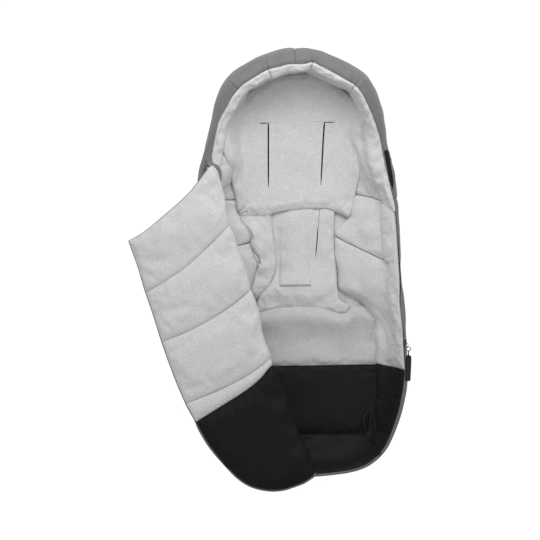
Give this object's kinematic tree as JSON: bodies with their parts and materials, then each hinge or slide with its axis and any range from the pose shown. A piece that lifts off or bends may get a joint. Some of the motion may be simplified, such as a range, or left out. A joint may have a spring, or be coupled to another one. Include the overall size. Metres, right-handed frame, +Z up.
{
  "type": "stroller footmuff",
  "caption": "Padded stroller footmuff lying open on its back: hooded sack with fleece and black linings, harness slots and a zip-off front cover folded to one side.",
  "frame": {"origin": "middle of the underside of the back, on the surface that the muff lies on", "axes": "+Y towards the head end, +Z up out of the open front, +X to the right seen from above"},
  "size_m": [0.6149, 0.972, 0.14],
  "materials": {
    "fleece": "melange fleece pile",
    "shell_cloth": "matt woven nylon",
    "black_cloth": "wipe-clean woven cloth",
    "wadding": "polyester wadding",
    "piping": "corded binding",
    "zip_tape": "woven zip tape",
    "slider_metal": "satin",
    "woven_tab": "woven tape"
  },
  "bodies": {
    "muff": {"hood_lining": "fleece", "wing_lining_left": "fleece", "wing_lining_right": "fleece", "hip_lining_left": "fleece", "hip_lining_right": "fleece", "leg_wall_lining_left": "fleece", "leg_wall_lining_right": "fleece", "rim_roll_left": "fleece", "rim_roll_top": "fleece", "rim_roll_upper_right": "fleece", "rim_facing_right": "fleece", "upper_back_lining": "fleece", "seat_lining": "fleece", "leg_lining": "fleece", "slot_bar_left": "fleece", "slot_bar_right": "fleece", "crotch_tab": "fleece", "cover_base_lining": "fleece", "cover_fold_roll": "fleece", "back_shell": "shell_cloth", "hood_shell_left": "shell_cloth", "hood_shell_right": "shell_cloth", "side_shell_left": "shell_cloth", "side_shell_right": "shell_cloth", "toe_shell": "shell_cloth", "cover_base_shell": "shell_cloth", "zip_garage": "shell_cloth", "foot_wall_lining": "black_cloth", "foot_lining": "black_cloth", "toe_lining": "black_cloth", "cover_base_foot_lining": "black_cloth", "back_padding": "wadding", "hood_padding": "wadding", "side_padding_left": "wadding", "side_padding_right": "wadding", "toe_padding": "wadding", "cover_base_padding": "wadding", "zip_tape_left": "zip_tape", "zip_tape_right": "zip_tape", "zip_teeth_left": "zip_tape", "zip_teeth_right": "zip_tape", "zip_stop_left": "slider_metal", "zip_stop_right": "slider_metal"},
    "cover": {"cover_shell": "shell_cloth", "cover_padding": "wadding", "cover_lining": "fleece", "cover_foot_lining": "black_cloth", "cover_piping": "piping"},
    "slider_right": {"zip_slider_right": "slider_metal"},
    "ring_right": {"pull_ring_right": "slider_metal"},
    "tab_right": {"pull_tab_right": "woven_tab"},
    "slider_left": {"zip_slider_left": "slider_metal"},
    "ring_left": {"pull_ring_left": "slider_metal"}
  },
  "joints": [
    {"name": "cover_fold", "type": "hinge", "parent": "muff", "child": "cover", "pos_m": [-0.20526, 0.21222, 0.1173], "axis": [-0.304, 0.9527, 0], "range_deg": [0, 178], "deforming": ["cover_fold_roll"]},
    {"name": "zip_slide_right", "type": "slide", "parent": "muff", "child": "slider_right", "axis": [-0.014, 0.9999, 0], "range_m": [-0.06, 0.06]},
    {"name": "ring_swing_right", "type": "hinge", "parent": "slider_right", "child": "ring_right", "pos_m": [0.22708, -0.1832, 0.1072], "axis": [-0.866, -0.5, 0], "range_deg": [0, 120]},
    {"name": "tab_swing_right", "type": "hinge", "parent": "ring_right", "child": "tab_right", "pos_m": [0.22943, -0.19141, 0.1072], "axis": [-1, 0, 0], "range_deg": [0, 60]},
    {"name": "zip_slide_left", "type": "slide", "parent": "muff", "child": "slider_left", "axis": [0.1158, 0.9933, 0], "range_m": [-0.06, 0]},
    {"name": "ring_swing_left", "type": "hinge", "parent": "slider_left", "child": "ring_left", "pos_m": [-0.2043, 0.2068, 0.1072], "axis": [-0.866, 0.5, 0], "range_deg": [0, 120]}
  ]
}
